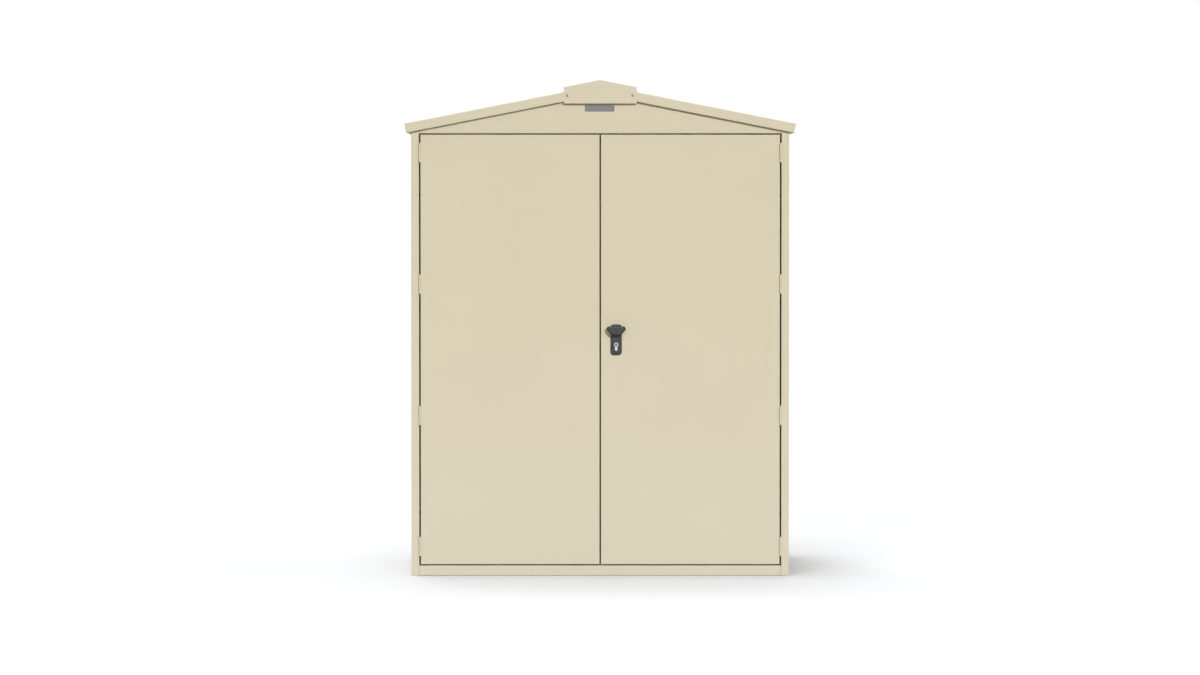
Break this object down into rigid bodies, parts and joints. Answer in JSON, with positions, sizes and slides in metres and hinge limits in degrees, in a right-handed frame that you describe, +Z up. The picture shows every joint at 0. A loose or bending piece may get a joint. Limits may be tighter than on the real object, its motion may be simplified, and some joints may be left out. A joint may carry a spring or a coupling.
{
  "type": "metal tool shed",
  "caption": "Folded-steel tool shed with hinged double doors, a turn handle over a profile cylinder lock, a low gable roof and a raised ridge vent.",
  "frame": {"origin": "on the ground, under the middle of the walls", "axes": "+Z up, -Y out of the doors, +X to the right of someone who faces the doors"},
  "size_m": [1.584, 1.1454, 2.0002],
  "materials": {
    "body_paint": "ivory powder coat, satin",
    "galvanised": "galvanised, dull",
    "handle_plastic": "fine-grained black moulding",
    "lock_metal": "nickel plated"
  },
  "bodies": {
    "shell": {"left_front_post": "body_paint", "right_front_post": "body_paint", "left_rear_post": "body_paint", "right_rear_post": "body_paint", "front_sill": "body_paint", "front_gable": "body_paint", "left_wall_front": "body_paint", "left_wall_rear": "body_paint", "right_wall_front": "body_paint", "right_wall_rear": "body_paint", "back_wall_left": "body_paint", "back_wall_centre": "body_paint", "back_wall_right": "body_paint", "floor_left": "galvanised", "floor_right": "galvanised", "left_roof_front": "body_paint", "left_roof_rear": "body_paint", "right_roof_front": "body_paint", "right_roof_rear": "body_paint", "left_roof_seam": "body_paint", "right_roof_seam": "body_paint", "ridge_cap": "body_paint", "ridge_front_plate": "body_paint", "ridge_rear_plate": "body_paint", "ridge_brackets": "body_paint", "left_post_hinges": "body_paint", "right_post_hinges": "body_paint"},
    "left_leaf": {"left_door": "body_paint", "left_door_stiffener": "body_paint", "left_door_hinges": "body_paint"},
    "right_leaf": {"right_door": "body_paint", "right_door_stiffener": "body_paint", "right_door_hinges": "body_paint", "handle_plate": "handle_plastic", "lock_cylinder": "lock_metal", "lock_case": "galvanised", "lock_rods": "galvanised"},
    "handle": {"turn_handle": "handle_plastic"}
  },
  "joints": [
    {"name": "left_door_hinge", "type": "hinge", "parent": "shell", "child": "left_leaf", "pos_m": [-0.728, -0.55, 0.9135], "axis": [0, 0, -1], "range_deg": [0, 170]},
    {"name": "right_door_hinge", "type": "hinge", "parent": "shell", "child": "right_leaf", "pos_m": [0.728, -0.55, 0.9135], "axis": [0, 0, 1], "range_deg": [0, 170]},
    {"name": "handle_turn", "type": "hinge", "parent": "right_leaf", "child": "handle", "pos_m": [0.0645, -0.553, 0.99], "axis": [0, 1, 0], "range_deg": [0, 90]}
  ]
}
